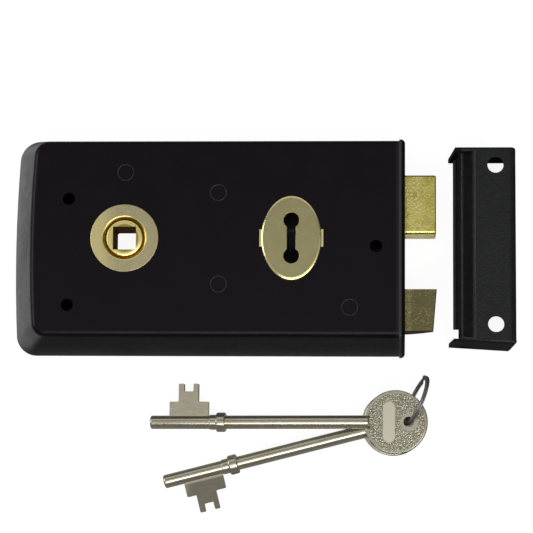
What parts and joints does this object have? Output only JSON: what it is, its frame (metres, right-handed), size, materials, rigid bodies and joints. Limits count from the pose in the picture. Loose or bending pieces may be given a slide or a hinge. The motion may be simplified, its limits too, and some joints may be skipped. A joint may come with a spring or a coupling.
{
  "type": "rim box lock",
  "caption": "Double-handed rim box lock in black steel with brass deadbolt and latch bolt, lever action, boxed keep, and keys on a split ring.",
  "frame": {"origin": "middle of the lock's back face, on the plane that is screwed to the door", "axes": "+Z out of the back face towards the painted face, +X towards the fore-end and the keep, +Y from the latch side to the deadbolt side"},
  "size_m": [0.1786, 0.1342, 0.025],
  "materials": {
    "black_enamel": "satin black stoved enamel",
    "black_texture": "fine textured black powder coat",
    "fore_end_enamel": "satin black stoved enamel",
    "case_steel": "turned mild steel",
    "screw_steel": "zinc plated",
    "spring_steel": "oiled spring steel",
    "lever_steel": "pressed steel, oiled",
    "collar_brass": "matte brass",
    "escutcheon_brass": "pressed brass, satin",
    "bolt_brass": "cast brass, drawn finish",
    "latch_brass": "cast brass, dull",
    "key_nickel": "nickel plated steel, worn",
    "bow_nickel": "nickel plated, pebbled field",
    "ring_steel": "dark spring steel wire"
  },
  "bodies": {
    "lock_case": {"case": "black_enamel", "back_plate": "black_enamel", "fore_end": "fore_end_enamel", "upper_post": "case_steel", "bolt_post": "case_steel", "lower_post": "case_steel", "latch_post": "case_steel", "cap_screws": "screw_steel", "lever_spacer": "case_steel", "front_collar": "collar_brass", "back_collar": "collar_brass", "escutcheon": "escutcheon_brass", "spring_stop": "case_steel", "latch_spring": "spring_steel"},
    "follower": {"follower": "collar_brass"},
    "latch_bolt": {"latch_bolt": "latch_brass"},
    "deadbolt": {"deadbolt": "bolt_brass"},
    "front_lever": {"front_lever": "lever_steel", "front_lever_spring": "spring_steel"},
    "back_lever": {"back_lever": "lever_steel", "back_lever_spring": "spring_steel"},
    "keep": {"keep": "black_texture"},
    "split_ring": {"split_ring": "ring_steel"},
    "upper_key": {"upper_key_shank": "key_nickel", "upper_key_bow": "bow_nickel"},
    "lower_key": {"lower_key_shank": "key_nickel", "lower_key_bow": "bow_nickel"}
  },
  "joints": [
    {"name": "follower_turn", "type": "hinge", "parent": "lock_case", "child": "follower", "pos_m": [-0.0281, 0, 0.0165], "axis": [0, 0, -1], "range_deg": [0, 45]},
    {"name": "latch_slide", "type": "slide", "parent": "lock_case", "child": "latch_bolt", "axis": [-1, 0, 0], "range_m": [0, 0.0118], "stiffness_N_per_m": 400, "springref_m": -0.01, "deforming": ["latch_spring"]},
    {"name": "deadbolt_slide", "type": "slide", "parent": "lock_case", "child": "deadbolt", "axis": [-1, 0, 0], "range_m": [0, 0.0114]},
    {"name": "front_lever_lift", "type": "hinge", "parent": "lock_case", "child": "front_lever", "pos_m": [0.0047, 0.0162, 0.0152], "axis": [0, 0, 1], "range_deg": [0, 6.01], "deforming": ["front_lever_spring"]},
    {"name": "back_lever_lift", "type": "hinge", "parent": "lock_case", "child": "back_lever", "pos_m": [0.0047, 0.0162, 0.009], "axis": [0, 0, 1], "range_deg": [0, 6.01], "deforming": ["back_lever_spring"]},
    {"name": "keep_slide", "type": "slide", "parent": "lock_case", "child": "keep", "axis": [-1, 0, 0], "range_m": [0, 0.013]},
    {"name": "ring_lift", "type": "slide", "parent": "lock_case", "child": "split_ring", "axis": [0, 0, 1], "range_m": [0, 0.03]},
    {"name": "upper_key_swing", "type": "hinge", "parent": "split_ring", "child": "upper_key", "pos_m": [0.07145, -0.0631, 0.01161], "axis": [0.0992, -0.0003, -0.9951], "range_deg": [0, 5]},
    {"name": "lower_key_swing", "type": "hinge", "parent": "split_ring", "child": "lower_key", "pos_m": [0.07042, -0.06224, 0.00639], "axis": [-0.0404, -0.0103, 0.9991], "range_deg": [0, 30]}
  ],
  "couplings": [
    {"joint": "follower_turn", "follows": "latch_slide", "rad_per_m": 66.55},
    {"joint": "front_lever_lift", "follows": "deadbolt_slide", "rad_per_m": 9.1859},
    {"joint": "back_lever_lift", "follows": "deadbolt_slide", "rad_per_m": 9.1859}
  ]
}
